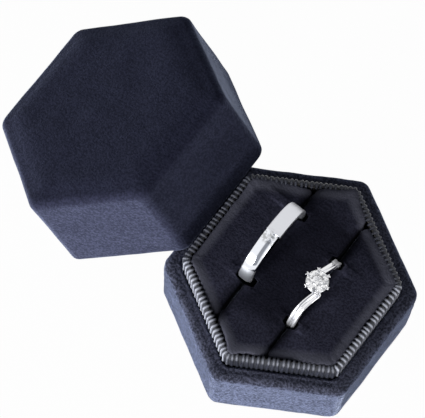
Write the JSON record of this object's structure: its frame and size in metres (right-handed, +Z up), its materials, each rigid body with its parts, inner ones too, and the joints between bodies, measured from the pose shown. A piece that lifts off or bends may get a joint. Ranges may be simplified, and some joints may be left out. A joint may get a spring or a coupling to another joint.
{
  "type": "ring box",
  "caption": "Hexagonal velvet ring box with a ribbed collar, a slotted ring cushion and a separate lift-off lid; a wedding band and a solitaire ring sit in the slots.",
  "frame": {"origin": "centre of the base's foot, on the surface that it stands on", "axes": "+Z up; +X from the side of the base where the lid leans to the opposite side; +Y along the ring slots"},
  "size_m": [0.1008, 0.0619, 0.046],
  "materials": {
    "velvet_navy": "dark navy cotton velvet, short pile with a pale sheen at grazing angles",
    "trim_cord": "dark slate corded satin tape",
    "lining_satin": "dark satin lining",
    "cushion_foam": "dense charcoal foam",
    "shell_plastic": "moulded matte",
    "collar_card": "grey board",
    "foot_card": "black flocked card",
    "ring_metal": "polished white metal with a satin stretch on the band",
    "stone": "clear cut stone"
  },
  "bodies": {
    "base": {"base_foot_sheet": "foot_card", "base_shell": "shell_plastic", "base_velvet": "velvet_navy", "collar": "collar_card", "ribbed_trim": "trim_cord", "base_foam": "cushion_foam", "cushion_board": "collar_card", "cushion_core_left": "cushion_foam", "cushion_core_middle": "cushion_foam", "cushion_core_right": "cushion_foam", "cushion_cover_left": "velvet_navy", "cushion_cover_middle": "velvet_navy", "cushion_cover_right": "velvet_navy"},
    "lid": {"lid_shell": "shell_plastic", "lid_top_foam": "cushion_foam", "lid_velvet": "velvet_navy", "lid_liner": "lining_satin", "lid_inner_pad": "lining_satin"},
    "band_ring": {"wedding_band": "ring_metal"},
    "solitaire_ring": {"solitaire_shank": "ring_metal", "solitaire_head": "ring_metal", "solitaire_stone": "stone"}
  },
  "joints": [
    {"name": "lid_lift", "type": "slide", "parent": "base", "child": "lid", "axis": [0, 0, 1], "range_m": [0, 0.05]},
    {"name": "band_pull", "type": "slide", "parent": "base", "child": "band_ring", "axis": [0, 0, 1], "range_m": [0, 0.02]},
    {"name": "solitaire_pull", "type": "slide", "parent": "base", "child": "solitaire_ring", "axis": [0, 0, 1], "range_m": [0, 0.02]}
  ]
}
